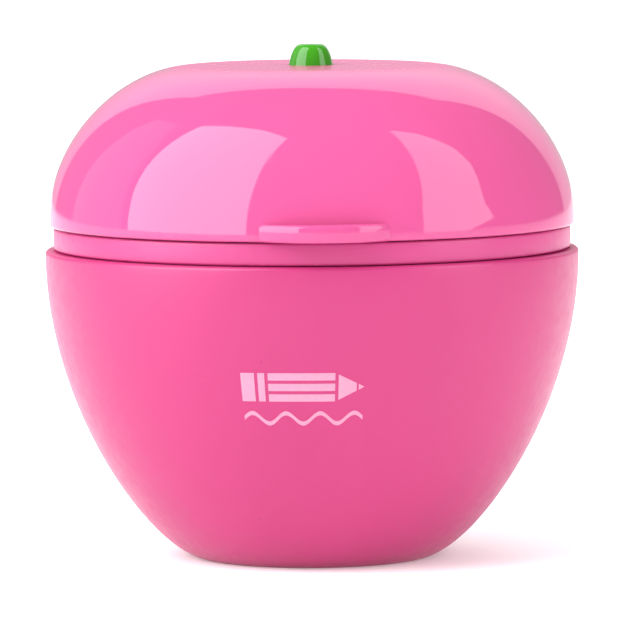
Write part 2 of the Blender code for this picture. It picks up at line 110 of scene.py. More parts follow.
LID_KNUCKLE_HALF = 2.9 * MM
EAR_INNER = 3.2 * MM
EAR_OUTER = 6.2 * MM


# ---- Outlines ----
def bezier(start, handle_a, handle_b, end, count):
    """Points along a cubic curve."""
    points = []
    for i in range(count):
        t = i / (count - 1)
        weights = ((1 - t) ** 3, 3 * (1 - t) ** 2 * t, 3 * (1 - t) * t * t, t**3)
        corners = (start, handle_a, handle_b, end)
        points.append(tuple(sum(w * c[k] for w, c in zip(weights, corners)) for k in (0, 1)))
    return points


def arc(centre, radius_a, radius_b, start, end, count):
    """Points along part of an ellipse, between two angles in degrees."""
    angles = [math.radians(start + (end - start) * i / (count - 1)) for i in range(count)]
    return [(centre[0] + radius_a * math.cos(a), centre[1] + radius_b * math.sin(a)) for a in angles]


def inset(points, distance):
    """An open curve moved towards the right of its direction of travel."""
    moved = []
    for i, (x, y) in enumerate(points):
        ahead = points[min(i + 1, len(points) - 1)]
        behind = points[max(i - 1, 0)]
        along = Vector((ahead[0] - behind[0], ahead[1] - behind[1])).normalized()
        moved.append((x + along.y * distance, y - along.x * distance))
    return moved


def rounded(points, radii, steps=4):
    """A polyline with its inner corners rounded, each by its own radius; 0 leaves a corner sharp."""
    result = [points[0]]
    for i in range(1, len(points) - 1):
        here = Vector(points[i])
        radius = radii[i - 1]
        if radius <= 0:
            result.append(tuple(here))
            continue
        to_before = Vector(points[i - 1]) - here
        to_after = Vector(points[i + 1]) - here
        before = to_before.normalized() * min(radius, to_before.length * 0.49)
        after = to_after.normalized() * min(radius, to_after.length * 0.49)
        for k in range(steps + 1):
            t = k / steps
            result.append(tuple(here + before * (1 - t) ** 2 + after * t * t))
    result.append(points[-1])
    return result


def rectangle(left, right, bottom, top):
    return [(left, top), (left, bottom), (right, bottom), (right, top)]


def rounded_rectangle(half_x, half_y, corner, count):
    """A rectangle about the origin with its corners rounded by arcs of count points."""
    outline = []
    for sign_x, sign_y, start in ((1, -1, -90), (1, 1, 0), (-1, 1, 90), (-1, -1, 180)):
        centre = (sign_x * (half_x - corner), sign_y * (half_y - corner))
        outline += arc(centre, corner, corner, start, start + 90, count)
    return outline


def stadium(length, width, count):
    """A strip about the origin with half round ends."""
    radius = width / 2
    centre = length / 2 - radius
    right = arc((centre, 0), radius, radius, -90, 90, count)
    left = arc((-centre, 0), radius, radius, 90, 270, count)
    return right + left


# ---- Meshes ----
def new_object(name, bm, smooth_angle=30):
    """A smooth-shaded object from a bmesh, which is freed."""
    bmesh.ops.recalc_face_normals(bm, faces=bm.faces)
    mesh = bpy.data.meshes.new(name)
    bm.to_mesh(mesh)
    bm.free()
    obj = bpy.data.objects.new(name, mesh)
    bpy.context.scene.collection.objects.link(obj)
    shade(obj, smooth_angle)
    return obj


def shade(obj, smooth_angle):
    """Smooth shading with the edges steeper than the angle, in degrees, kept sharp."""
    obj.data.shade_smooth()
    obj.data.set_sharp_from_angle(angle=math.radians(smooth_angle))


def revolve(name, profile_at, angles, closed, smooth_angle=30):
    """A solid of revolution from a (radius, height) profile for each angle; radius 0 makes a pole."""
    bm = bmesh.new()
    rings = []
    poles = {}
    for angle in angles:
        ring = []
        for k, (r, z) in enumerate(profile_at(angle)):
            if r < ON_AXIS:
                if k not in poles:
                    poles[k] = bm.verts.new((0, 0, z))
                ring.append(poles[k])
            else:
                ring.append(bm.verts.new((r * math.cos(angle), r * math.sin(angle), z)))
        rings.append(ring)
    count = len(rings[0])
    for i, ring in enumerate(rings):
        following = rings[(i + 1) % len(rings)]
        for k in range(count if closed else count - 1):
            corners = [ring[k], following[k], following[(k + 1) % count], ring[(k + 1) % count]]
            corners = list(dict.fromkeys(corners))
            if len(corners) > 2:
                bm.faces.new(corners)
    return new_object(name, bm, smooth_angle)


def turned(name, profile, steps, smooth_angle=30):
    """A solid of revolution with one profile that runs from pole to pole."""
    angles = [math.tau * i / steps for i in range(steps)]
    return revolve(name, lambda angle: profile, angles, closed=False, smooth_angle=smooth_angle)


def box(name, low, high):
    low, high = Vector(low), Vector(high)
    bm = bmesh.new()
    matrix = Matrix.Translation((low + high) / 2) @ Matrix.Diagonal((*(high - low), 1.0))
    bmesh.ops.create_cube(bm, size=1.0, matrix=matrix)
    return new_object(name, bm)


def cylinder(name, base, tip, radius, steps=SMALL_STEPS, chamfer=0.0):
    """A cylinder between two points on its axis, with both rims chamfered."""
    base, tip = Vector(base), Vector(tip)
    length = (tip - base).length
    profile = [(0, length), (radius - chamfer, length), (radius, length - chamfer), (radius, chamfer),
               (radius - chamfer, 0), (0, 0)]
    profile = [p for i, p in enumerate(profile) if i == 0 or p != profile[i - 1]]
    obj = turned(name, profile, steps, smooth_angle=50)
    turn = (tip - base).to_track_quat("Z", "Y").to_matrix().to_4x4()
    obj.data.transform(Matrix.Translation(base) @ turn)
    return obj


def thicken(bm, faces, thickness):
    """Extrudes flat faces upwards."""
    extruded = bmesh.ops.extrude_face_region(bm, geom=faces)["geom"]
    verts = [part for part in extruded if isinstance(part, bmesh.types.BMVert)]
    bmesh.ops.translate(bm, verts=verts, vec=(0, 0, thickness))


def prism(name, outline, bottom, top, edge=0.0):
    """A flat closed outline with thickness, the edges of its two caps rounded."""
    bm = bmesh.new()
    face = bm.faces.new([bm.verts.new((x, y, bottom)) for x, y in outline])
    thicken(bm, [face], top - bottom)
    if edge:
        caps = [e for e in bm.edges if abs(e.verts[0].co.z - e.verts[1].co.z) < LEVEL]
        bmesh.ops.bevel(bm, geom=caps, offset=edge, segments=4, profile=0.5, affect="EDGES",
                        clamp_overlap=True)
    return new_object(name, bm)


def boolean(obj, helpers, operation):
    """Adds one Boolean modifier for each helper, which settle() applies."""
    for helper in helpers:
        modifier = obj.modifiers.new(helper.name, "BOOLEAN")
        modifier.operation = operation
        modifier.object = helper


def settle(obj, helpers, smooth_angle):
    """Applies obj's modifiers and removes their helpers."""
    graph = bpy.context.evaluated_depsgraph_get()
    graph.update()
    mesh = bpy.data.meshes.new_from_object(obj.evaluated_get(graph))
    obj.modifiers.clear()
    obj.data = mesh
    mesh.materials.clear()
    for helper in helpers:
        bpy.data.objects.remove(helper, do_unlink=True)
    shade(obj, smooth_angle)
    return obj


def shape(obj, added, removed, smooth_angle=30):
    """Joins some helpers to obj and cuts others out of it."""
    boolean(obj, added, "UNION")
    boolean(obj, removed, "DIFFERENCE")
    return settle(obj, [*added, *removed], smooth_angle)


def finished(obj, material, body, slot, *nodes):
    """Gives a piece its material and body and hides the CAD nodes that it stands for; the material slot is
    not used.
    """
    obj.data.materials.clear()
    obj.data.materials.append(material)
    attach(obj, body)
    if nodes:
        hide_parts(*nodes)
    return obj


# ---- Materials ----
class Nodes:
    """A material's node tree with a few shorthands."""

    def __init__(self, name):
        self.material = bpy.data.materials.new(name)
        self.material.use_nodes = True
        self.tree = self.material.node_tree
        self.shader = self.tree.nodes["Principled BSDF"]
        self.place = self.tree.nodes.new("ShaderNodeTexCoord").outputs["Object"]

    def link(self, source, target):
        self.tree.links.new(source, target)

    def noise(self, scale, detail, stretch=(1, 1, 1)):
        """Noise with that many grains a metre, drawn out along an axis whose stretch is below 1."""
        mapping = self.tree.nodes.new("ShaderNodeMapping")
        mapping.inputs["Scale"].default_value = stretch
        self.link(self.place, mapping.inputs["Vector"])
        texture = self.tree.nodes.new("ShaderNodeTexNoise")
        texture.inputs["Scale"].default_value = scale
        texture.inputs["Detail"].default_value = detail
        self.link(mapping.outputs["Vector"], texture.inputs["Vector"])
        return texture.outputs["Fac"]

    def specks(self, scale, size):
        """1 inside small scattered spots and 0 elsewhere."""
        texture = self.tree.nodes.new("ShaderNodeTexVoronoi")
        texture.inputs["Scale"].default_value = scale
        self.link(self.place, texture.inputs["Vector"])
        return self.spread(texture.outputs["Distance"], (size, size * 0.5))

    def spread(self, value, source, target=(0.0, 1.0)):
        """Value mapped from a source range to a target range and held inside it."""
        node = self.tree.nodes.new("ShaderNodeMapRange")
        for socket, number in zip(("From Min", "From Max", "To Min", "To Max"), (*source, *target)):
            node.inputs[socket].default_value = number
        self.link(value, node.inputs["Value"])
        return node.outputs["Result"]

    def height(self):
        """The height above the floor, at rest."""
        node = self.tree.nodes.new("ShaderNodeSeparateXYZ")
        self.link(self.place, node.inputs["Vector"])
        return node.outputs["Z"]

    def distance_from(self, point):
        node = self.tree.nodes.new("ShaderNodeVectorMath")
        node.operation = "DISTANCE"
        self.link(self.place, node.inputs[0])
        node.inputs[1].default_value = point
        return node.outputs["Value"]

    def maths(self, operation, value_a, value_b):
        node = self.tree.nodes.new("ShaderNodeMath")
        node.operation = operation
        self.link(value_a, node.inputs[0])
        self.link(value_b, node.inputs[1])
        return node.outputs["Value"]

    def mix(self, amount, colour_a, colour_b):
        """A blend of two colours, each a tuple or another node's output."""
        node = self.tree.nodes.new("ShaderNodeMix")
        node.data_type = "RGBA"
        self.link(amount, node.inputs["Factor"])
        for name, colour in (("A", colour_a), ("B", colour_b)):
            target = [s for s in node.inputs if s.name == name and s.type == "RGBA"][0]
            if isinstance(colour, tuple):
                target.default_value = (*colour, 1.0)
            else:
                self.link(colour, target)
        return [s for s in node.outputs if s.type == "RGBA"][0]

    def bump(self, height, depth, below=None):
        """A bump of that depth in metres, on top of another."""
        node = self.tree.nodes.new("ShaderNodeBump")
        node.inputs["Strength"].default_value = 1.0
        node.inputs["Distance"].default_value = depth
        self.link(height, node.inputs["Height"])
        if below:
            self.link(below, node.inputs["Normal"])
        return node.outputs["Normal"]

    def colour(self, value):
        self.link(value, self.shader.inputs["Base Color"])

    def roughness(self, value):
        self.link(value, self.shader.inputs["Roughness"])

    def normal(self, value):
        self.link(value, self.shader.inputs["Normal"])


def tinted(colour, factor):
    return tuple(min(1.0, c * factor) for c in colour)


WAVE_DEPTH = 0.03 * MM
ETCH_DEPTH = 0.004 * MM
SCRATCH_DEPTH = 0.003 * MM
SATIN_IOR = 1.44
GLOSS_IOR = 1.42
MIDDLE = (0.35, 0.65)  # the range that holds most values of a noise
WIDE = (0.3, 0.7)


def satin_plastic(name, colour):
    """Moulded plastic with a fine etched grain, faint flow marks and a few specks in the pigment."""
    n = Nodes(name)
    flow = n.noise(60.0, 3.0, (1, 1, 0.35))
    pigment = n.mix(n.spread(flow, MIDDLE), tinted(colour, 0.97), tinted(colour, 1.03))
    n.colour(n.mix(n.specks(260.0, 0.05), pigment, tinted(colour, 0.80)))
    n.roughness(n.spread(n.noise(900.0, 3.0), WIDE, (0.32, 0.40)))
    waves = n.bump(n.noise(45.0, 1.0), WAVE_DEPTH)
    n.normal(n.bump(n.noise(3200.0, 2.0), ETCH_DEPTH, waves))
    n.shader.inputs["IOR"].default_value = SATIN_IOR
    return n.material


def gloss_plastic(name, colour, satin_from=None):
    """Polished moulded plastic with waves, rubbing marks and dust; from a given height up it turns satin."""
    n = Nodes(name)
    flow = n.noise(50.0, 2.0, (1, 1, 0.4))
    pigment = n.mix(n.spread(flow, MIDDLE), tinted(colour, 0.98), tinted(colour, 1.02))
    n.colour(n.mix(n.specks(420.0, 0.03), pigment, tinted(colour, 1.08)))
    roughness = n.spread(n.noise(700.0, 4.0, (1, 1, 0.15)), (0.55, 0.75), (0.045, 0.11))
    if satin_from:
        satin = n.spread(n.height(), (satin_from, satin_from + 0.5 * MM), (0.0, 0.20))
        roughness = n.maths("ADD", roughness, satin)
    n.roughness(roughness)
    n.normal(n.bump(n.noise(38.0, 1.0), WAVE_DEPTH))
    n.shader.inputs["IOR"].default_value = GLOSS_IOR
    return n.material


def steel(name, colour, roughness, grain):
    """Ground steel with its scratches along one direction."""
    n = Nodes(name)
    scratches = n.noise(1500.0, 4.0, grain)
    n.colour(n.mix(n.spread(scratches, WIDE), tinted(colour, 0.88), tinted(colour, 1.08)))
    n.roughness(n.spread(scratches, WIDE, (roughness * 0.75, roughness * 1.3)))
    n.normal(n.bump(scratches, SCRATCH_DEPTH))
    n.shader.inputs["Metallic"].default_value = 1.0
    return n.material


def ink(name, colour):
    """Screen-printed ink with small pinholes of uneven cover."""
    n = Nodes(name)
    cover = n.noise(2500.0, 3.0)
    n.colour(n.mix(n.spread(cover, (0.40, 0.60)), tinted(colour, 0.93), colour))
    n.roughness(n.spread(cover, WIDE, (0.45, 0.6)))
    n.normal(n.bump(cover, SCRATCH_DEPTH))
    return n.material


# Base colours, linear red, green and blue
PINK = (0.438, 0.0265, 0.144)
COLLAR_PINK = (0.499, 0.043, 0.188)
HOT_PINK = (0.539, 0.073, 0.223)
GREEN = (0.038, 0.262, 0.009)
PRINT_PINK = (0.66, 0.25, 0.38)
WHITE = (0.58, 0.58, 0.56)
STEEL = (0.62, 0.63, 0.65)


# ---- The cup ----
def cup_outside(count):
    """The cup's outer wall from the rim down to the foot."""
    top = (RIM_RADIUS, RIM_HEIGHT - RIM_ROUND)
    return bezier(top, (RIM_RADIUS, CUP_BELLY), CUP_TUCK, (FOOT_RADIUS, 0.0), count)


def cup_seat(inner_radius):
    """The stepped seat for the carrier's skirt, with the groove for its bead, from below up to the rim."""
    seat_radius = SKIRT_RADIUS + CLEARANCE
    groove_half = BEAD_HALF + 0.1 * MM
    groove_depth = 0.2 * MM
    soft, small = 0.2 * MM, 0.15 * MM
    corners = [
        (inner_radius, SEAT_BOTTOM),
        (seat_radius, SEAT_BOTTOM),
        (seat_radius, BEAD_HEIGHT - groove_half),
        (seat_radius + groove_depth, BEAD_HEIGHT),
        (seat_radius, BEAD_HEIGHT + groove_half),
        (seat_radius, RIM_HEIGHT),
    ]
    return corners, [small, small, soft, soft, soft, 0.25 * MM]


def cup_profile():
    """From the inner floor's middle up the inside, over the rim, down the outside and under the foot."""
    outside = cup_outside(90)
    lowest, highest = CUP_FLOOR + 0.6 * MM, SEAT_BOTTOM - 0.5 * MM
    inside = [p for p in inset(outside, CUP_WALL) if lowest < p[1] < highest]
    floor_radius = inside[-1][0]
    floor_edge = bezier(inside[-1], (floor_radius - 0.9 * MM, CUP_FLOOR + 0.15 * MM),
                        (floor_radius - 1.8 * MM, CUP_FLOOR), (floor_radius - 3.0 * MM, CUP_FLOOR), 8)[1:]
    seat_corners, seat_radii = cup_seat(inside[0][0])
    seat = rounded([inside[0], *seat_corners, (RIM_RADIUS - RIM_LIP, RIM_HEIGHT)], seat_radii)
    rim = arc((RIM_RADIUS - RIM_LIP, RIM_HEIGHT - RIM_ROUND), RIM_LIP, RIM_ROUND, 90, 0, 10)[1:]
    foot = rounded(
        [(FOOT_RADIUS, 0.0), (FOOT_RECESS_RADIUS + 0.4 * MM, 0.0), (FOOT_RECESS_RADIUS, FOOT_RECESS),
         (0.0, FOOT_RECESS)], [0.2 * MM, 0.2 * MM])[1:]
    return [(0.0, CUP_FLOOR), *reversed(floor_edge), *reversed(inside[1:]), *seat, *rim, *outside[1:], *foot]


def outside_radius(height):
    """The cup's outside radius at a height."""
    points = cup_outside(200)
    for (r_high, z_high), (r_low, z_low) in zip(points, points[1:]):
        if z_low <= height <= z_high:
            share = (height - z_low) / (z_high - z_low)
            return r_low + (r_high - r_low) * share
    return RIM_RADIUS


def make_cup(material):
    cup = turned("cup_shell", cup_profile(), ROUND_STEPS)
    return finished(cup, material, "cup", "cup_plastic", "cup")


# ---- The print on the cup's front: a generic pencil over a curl of shaving ----
PRINT_WIDTH = 12.6 * MM
PRINT_CENTRE_HEIGHT = 19.3 * MM
PRINT_TURN = math.radians(-5.0)  # the cup can stand turned a little under the collar
PRINT_LIFT = 0.02 * MM  # how far the ink stands proud of the cup
PRINT_THICKNESS = 0.04 * MM
PRINT_SPACING = 0.35 * MM  # of the cuts that let the ink bend round the cup


def wrap_print(name, outline):
    """A flat outline laid on the cup's front as a thin layer: x runs round the cup and y up it."""
    bm = bmesh.new()
    bm.faces.new([bm.verts.new((x, y, 0)) for x, y in outline])
    bmesh.ops.triangulate(bm, faces=bm.faces)
    for axis in (0, 1):
        low = min(v.co[axis] for v in bm.verts)
        high = max(v.co[axis] for v in bm.verts)
        normal = Vector((0, 0, 0))
        normal[axis] = 1
        for i in range(1, int((high - low) / PRINT_SPACING) + 1):
            everything = [*bm.verts, *bm.edges, *bm.faces]
            place = normal * (low + i * PRINT_SPACING)
            bmesh.ops.bisect_plane(bm, geom=everything, plane_co=place, plane_no=normal)
    thicken(bm, list(bm.faces), 1)
    for vert in bm.verts:
        height = PRINT_CENTRE_HEIGHT + vert.co.y
        depth = PRINT_LIFT if vert.co.z > 0.5 else PRINT_LIFT - PRINT_THICKNESS
        radius = outside_radius(height) + depth
        angle = PRINT_TURN + vert.co.x / outside_radius(PRINT_CENTRE_HEIGHT)
        vert.co = (radius * math.sin(angle), -radius * math.cos(angle), height)
    return new_object(name, bm, 60)


def pencil_patches():
    """A pencil that points to the right: rubber, ferrule, three barrel faces, cone and point."""
    half = PRINT_WIDTH / 2
    middle = 1.1 * MM  # above the print's centre
    thick = 1.5 * MM
    gap = 0.35 * MM
    rubber_end = -half + 1.4 * MM
    ferrule_start = rubber_end + gap
    ferrule_end = ferrule_start + 0.7 * MM
    barrel_start = ferrule_end + gap
    barrel_end = half - 3.0 * MM
    patches = [rectangle(-half, rubber_end, middle - thick, middle + thick),
               rectangle(ferrule_start, ferrule_end, middle - thick, middle + thick)]
    strip = (2 * thick - 2 * gap) / 3
    for i in range(3):
        top = middle + thick - i * (strip + gap)
        patches.append(rectangle(barrel_start, barrel_end, top - strip, top))
    cone_start = barrel_end + gap
    cone_end = half - 0.8 * MM
    cone_half = thick * 0.9
    tip_half = thick * 0.8 / 3
    patches.append([(cone_start, middle + cone_half), (cone_start, middle - cone_half),
                    (cone_end, middle - tip_half), (cone_end, middle + tip_half)])
    point_start = cone_end + gap * 0.6
    point_half = tip_half * 0.8
    patches.append([(point_start, middle + point_half), (point_start, middle - point_half), (half, middle)])
    return patches


def wave_patch():
    """A wavy line under the pencil, for its shaving."""
    steps = 60
    waves = 3.5
    middle, height, line_half = -2.2 * MM, 0.55 * MM, 0.22 * MM
    line = []
    for i in range(steps + 1):
        share = i / steps
        line.append((PRINT_WIDTH * (share - 0.5), middle + height * math.sin(math.tau * waves * share)))
    return [(x, y + line_half) for x, y in line] + [(x, y - line_half) for x, y in reversed(line)]


def make_print(material):
    for i, outline in enumerate([*pencil_patches(), wave_patch()]):
        finished(wrap_print(f"printed_pencil_{i + 1}", outline), material, "cup", "cup_plastic")


# ---- The carrier ----
SIDES = (("left", -1), ("right", 1))
SKIRT_WALL = 1.2 * MM
LID_BEAD = 0.2 * MM  # how far the beads stand out
CUP_BEAD = 0.15 * MM
BLOCK_HALF_X = 15.1 * MM
BLOCK_HALF_Y = 7.3 * MM
FLANGE_SCREW_X = 17.6 * MM
SHANK_HOLE = 1.05 * MM
BOSS_RADIUS = 2.05 * MM
BOSS_BOTTOM = 28.4 * MM
WEB_NEAR = 0.5 * MM  # the hinge's webs lie between these distances from its axis
WEB_FAR = 1.3 * MM
BARREL_CHAMFER = 0.15 * MM


def carrier_profile():
    """From the middle of the deck's top out over upstand, collar and skirt, and back in under the deck."""
    upstand_inner = UPSTAND_RADIUS - UPSTAND_WALL
    skirt_inner = SKIRT_RADIUS - SKIRT_WALL
    lid_bead = UPSTAND_TOP - LID_BEAD_DROP
    lid_bead_half = 0.3 * MM
    soft, small, none = 0.3 * MM, 0.15 * MM, 0.0
    corners = [
        ((0.0, DECK_TOP), None),
        ((upstand_inner, DECK_TOP), soft),
        ((upstand_inner, UPSTAND_TOP), soft),
        ((UPSTAND_RADIUS, UPSTAND_TOP), soft),
        ((UPSTAND_RADIUS, lid_bead + lid_bead_half), small),
        ((UPSTAND_RADIUS + LID_BEAD, lid_bead), small),
        ((UPSTAND_RADIUS, lid_bead - lid_bead_half), small),
        ((UPSTAND_RADIUS, COLLAR_TOP), none),
        ((COLLAR_RADIUS, COLLAR_TOP), soft),
        ((COLLAR_RADIUS, COLLAR_BOTTOM), soft),
        ((SKIRT_RADIUS, COLLAR_BOTTOM), none),
        ((SKIRT_RADIUS, BEAD_HEIGHT + BEAD_HALF), small),
        ((SKIRT_RADIUS + CUP_BEAD, BEAD_HEIGHT), small),
        ((SKIRT_RADIUS, BEAD_HEIGHT - BEAD_HALF), small),
        ((SKIRT_RADIUS, SKIRT_BOTTOM), soft),
        ((skirt_inner, SKIRT_BOTTOM), small),
        ((skirt_inner, DECK_BOTTOM), soft),
        ((0.0, DECK_BOTTOM), None),
    ]
    return rounded([p for p, _ in corners], [r for _, r in corners[1:-1]])


def hinge_barrel(name, x_low, x_high, radius, chamfer=0.0):
    """A cylinder on the hinge's axis."""
    return cylinder(name, (x_low, HINGE_Y, HINGE_Z), (x_high, HINGE_Y, HINGE_Z), radius, SMALL_STEPS, chamfer)


def make_carrier(material):
    """The turned shell with hinge ears and screw bosses; the knuckle's room also trims the ears."""
    carrier = turned("carrier_shell", carrier_profile(), ROUND_STEPS)
    added = []
    removed = []
    for side, sign in SIDES:
        near, far = sorted((sign * (EAR_INNER - 0.4 * MM), sign * EAR_OUTER))
        added.append(box(f"web_{side}", (near + 0.2 * MM, COLLAR_RADIUS - 1.2 * MM, HINGE_Z - WEB_FAR),
                         (far - 0.2 * MM, HINGE_Y, HINGE_Z - WEB_NEAR)))
        added.append(hinge_barrel(f"ear_{side}", near, far, KNUCKLE_RADIUS, BARREL_CHAMFER))
        x = sign * FLANGE_SCREW_X
        boss_top = (x, 0, DECK_BOTTOM + 0.4 * MM)
        added.append(cylinder(f"boss_{side}", (x, 0, BOSS_BOTTOM), boss_top, BOSS_RADIUS))
        pilot = (x, 0, BOSS_BOTTOM - MM), (x, 0, DECK_TOP + MM)
        removed.append(cylinder(f"pilot_{side}", *pilot, SHANK_HOLE))
    opening = rounded_rectangle(BLOCK_HALF_X + CLEARANCE, BLOCK_HALF_Y + CLEARANCE, 0.6 * MM, 5)
    removed.append(prism("block_opening", opening, DECK_BOTTOM - MM, DECK_TOP + MM))
    removed.append(hinge_barrel("knuckle_room", -EAR_INNER, EAR_INNER, KNUCKLE_ROOM))
    removed.append(hinge_barrel("pin_hole", -EAR_OUTER - MM, EAR_OUTER + MM, PIN_HOLE))
    shape(carrier, added, removed)
    return finished(carrier, material, "carrier", "collar_plastic", "carrier")


def make_hinge_pin(material):
    pin = hinge_barrel("hinge_pin_fine", PIN_LOW.x, PIN_HIGH.x, PIN_RADIUS, 0.1 * MM)
    return finished(pin, material, "carrier", "fastener_steel", "hinge_pin")


# ---- The lid ----
LID_CORNER = 0.3 * MM
NOTCH_INNER = EAR_INNER - 0.2 * MM
NOTCH_OUTER = EAR_OUTER + 0.3 * MM
NOTCH_STEP = 0.0006  # radians on each side of a notch's end
PRESSED = 0.05  # the share of its height that the lid's edge keeps where it is pressed up
TAB_ROUND = 0.5 * MM


def lid_outside(count):
    """The dome's outer wall from the crown's edge down to the seam."""
    bottom = (LID_RADIUS, LID_BOTTOM + LID_CORNER)
    return bezier((CROWN_RADIUS, LID_TOP), (LID_BROW, LID_TOP), (LID_RADIUS, LID_CHEEK), bottom, count)


def lid_profile():
    """From the stem's hole out over the crown, down the outside, round the edge and up the inside."""
    outside = lid_outside(110)
    inside = inset(outside[::3], LID_WALL)
    inner_radius = inside[-1][0]
    bevel = 0.2 * MM
    seat_radius = STEM_RADIUS + 0.1 * MM
    seat_height = LID_TOP - STEM_SEAT_DEPTH
    seat = [(STEM_HOLE, seat_height), (seat_radius, seat_height), (seat_radius, LID_TOP)]
    crown = rounded([*seat, outside[0]], [0.05 * MM, 0.12 * MM])
    edge = arc((LID_RADIUS - LID_CORNER, LID_BOTTOM + LID_CORNER), LID_CORNER, LID_CORNER, 0, -90, 7)
    inner_edge = [(inner_radius + bevel, LID_BOTTOM), (inner_radius, LID_BOTTOM + bevel)]
    hole = (STEM_HOLE, LID_TOP - LID_WALL)
    return [*crown, *outside[1:], *edge[1:], *inner_edge, *reversed(inside), hole]


def lid_edge_height(x, y):
    """The height that the lid's edge starts from: lifted over the hinge's ears and pin, flat elsewhere."""
    if abs(x) > NOTCH_OUTER or y < 0:
        return LID_BOTTOM
    room = PIN_HOLE if abs(x) < NOTCH_INNER else KNUCKLE_ROOM
    reach = abs(y - HINGE_Y)
    if reach >= room:
        return LID_BOTTOM
    return max(LID_BOTTOM, HINGE_Z + math.sqrt(room**2 - reach**2))


LID_PROFILE = lid_profile()


def lid_profile_at(angle):
    """The lid's profile, its lower edge pressed up where the hinge's ears and pin stand."""
    profile = []
    for r, z in LID_PROFILE:
        lowest = lid_edge_height(r * math.cos(angle), r * math.sin(angle))
        profile.append((r, max(z, lowest + (z - LID_BOTTOM) * PRESSED)))
    return profile


def lid_angles():
    """Evenly spread angles, with pairs of close ones at the notches' ends."""
    angles = [math.tau * i / ROUND_STEPS for i in range(ROUND_STEPS)]
    middle = LID_RADIUS - LID_WALL / 2
    for x in (NOTCH_INNER, NOTCH_OUTER):
        for sign in (-1, 1):
            turn = math.pi / 2 + sign * math.asin(x / middle)
            angles += [turn - NOTCH_STEP, turn + NOTCH_STEP]
    return sorted(angles)


def tab_outline(back_radius):
    """A flat arc in front, which reaches TAB_REACH, and an arc inside the lid's wall behind."""
    half = TAB_WIDTH / 2
    rise = TAB_REACH - math.sqrt(LID_RADIUS**2 - half**2)
    radius = (half**2 + rise**2) / (2 * rise)
    sweep = math.degrees(math.asin(half / radius))
    front = arc((0, -TAB_REACH + radius), radius, radius, -90 - sweep, -90 + sweep, 49)
    turn = math.degrees(math.asin(half / back_radius)) - 1
    return front + arc((0, 0), back_radius, back_radius, -90 + turn, -90 - turn, 25)


def make_lid(material):
    lid = revolve("lid_shell", lid_profile_at, lid_angles(), closed=True)
    finished(lid, material, "lid", "lid_plastic", "lid")
    outline = tab_outline(LID_RADIUS - LID_WALL / 2)
    tab = prism("thumb_tab", outline, LID_BOTTOM, LID_BOTTOM + TAB_HEIGHT, TAB_ROUND)
    finished(tab, material, "lid", "lid_plastic", "lid")
    web_half = LID_KNUCKLE_HALF - 0.2 * MM
    knuckle = hinge_barrel("lid_knuckle", -LID_KNUCKLE_HALF, LID_KNUCKLE_HALF, KNUCKLE_RADIUS, BARREL_CHAMFER)
    web = box("knuckle_web", (-web_half, LID_RADIUS - MM, HINGE_Z + WEB_NEAR),
              (web_half, HINGE_Y, HINGE_Z + WEB_FAR))
    shape(knuckle, [web], [hinge_barrel("knuckle_bore", -EAR_INNER, EAR_INNER, PIN_HOLE)])
    finished(knuckle, material, "lid", "lid_plastic", "lid")


def make_stem(material):
    """The stalk, with a barbed peg through the lid's crown."""
    base = LID_TOP - STEM_SEAT_DEPTH + 0.1 * MM
    underside = LID_TOP - LID_WALL
    shank = STEM_HOLE - 0.2 * MM
    barb = STEM_HOLE + 0.3 * MM
    peg_end = underside - 2.0 * MM
    flank = bezier((STEM_TIP_RADIUS, STEM_TOP), (STEM_TIP_RADIUS + 0.65 * MM, STEM_TOP),
                   (STEM_RADIUS - 0.14 * MM, LID_TOP + 1.0 * MM), (STEM_RADIUS, LID_TOP), 28)
    profile = [
        (0.0, STEM_TOP),
        *flank,
        (STEM_RADIUS, base + 0.05 * MM),
        (STEM_RADIUS - 0.05 * MM, base),
        (shank, base),
        (shank, underside - 0.3 * MM),
        (barb - 0.1 * MM, underside - 0.3 * MM),
        (barb, underside - 0.4 * MM),
        (barb, underside - 0.7 * MM),
        (shank * 0.8, peg_end),
        (0.0, peg_end),
    ]
    stem = turned("stem_fine", profile, HOLE_STEPS)
    return finished(stem, material, "lid", "stem_plastic", "stem")


# ---- The sharpener block, its blades and screws ----
STANDARD = {"x": -6.6 * MM, "guide": 4.1 * MM, "cone_top": 29.5 * MM, "half_angle": 11.5,
            "blade_width": 8.0 * MM, "blade_thickness": 0.55 * MM}
JUMBO = {"x": 8.0 * MM, "guide": 5.9 * MM, "cone_top": 31.5 * MM, "half_angle": 13.5,
         "blade_width": 10.0 * MM, "blade_thickness": 0.60 * MM}
BLOCK_BOTTOM = BLOCK_LOW.z
FLANGE_TOP = BLOCK_HIGH.z
FLANGE_BOTTOM = DECK_TOP + 0.3 * MM
FLANGE_LENGTH = 40.0 * MM
FLANGE_WIDTH = 17.0 * MM
BLADE_PLANES_MEET = -2.3 * MM
BLADE_FACE_TOP = 33.4 * MM
CUT_DEPTH = 0.4 * MM  # how far a blade's face cuts into its cone
BLADE_LENGTH = 21.0 * MM
BLADE_GAP = 0.1 * MM
TAP_DEPTH = 4.4 * MM
HOLE_CHAMFER = 0.8 * MM
THROAT_LEFT = 0.3 * MM  # the chip slot's sides, from the cone's axis
THROAT_RIGHT = 2.4 * MM
BEYOND = 2.0 * MM  # how far a cutting tool reaches past what it cuts
HEAD_RADIUS = 1.8 * MM
HEAD_HEIGHT = 0.95 * MM
SHANK_RADIUS = 0.9 * MM


def cone_radius(hole, height):
    """The radius of a sharpening cone at a height."""
    return hole["guide"] - (hole["cone_top"] - height) * math.tan(math.radians(hole["half_angle"]))


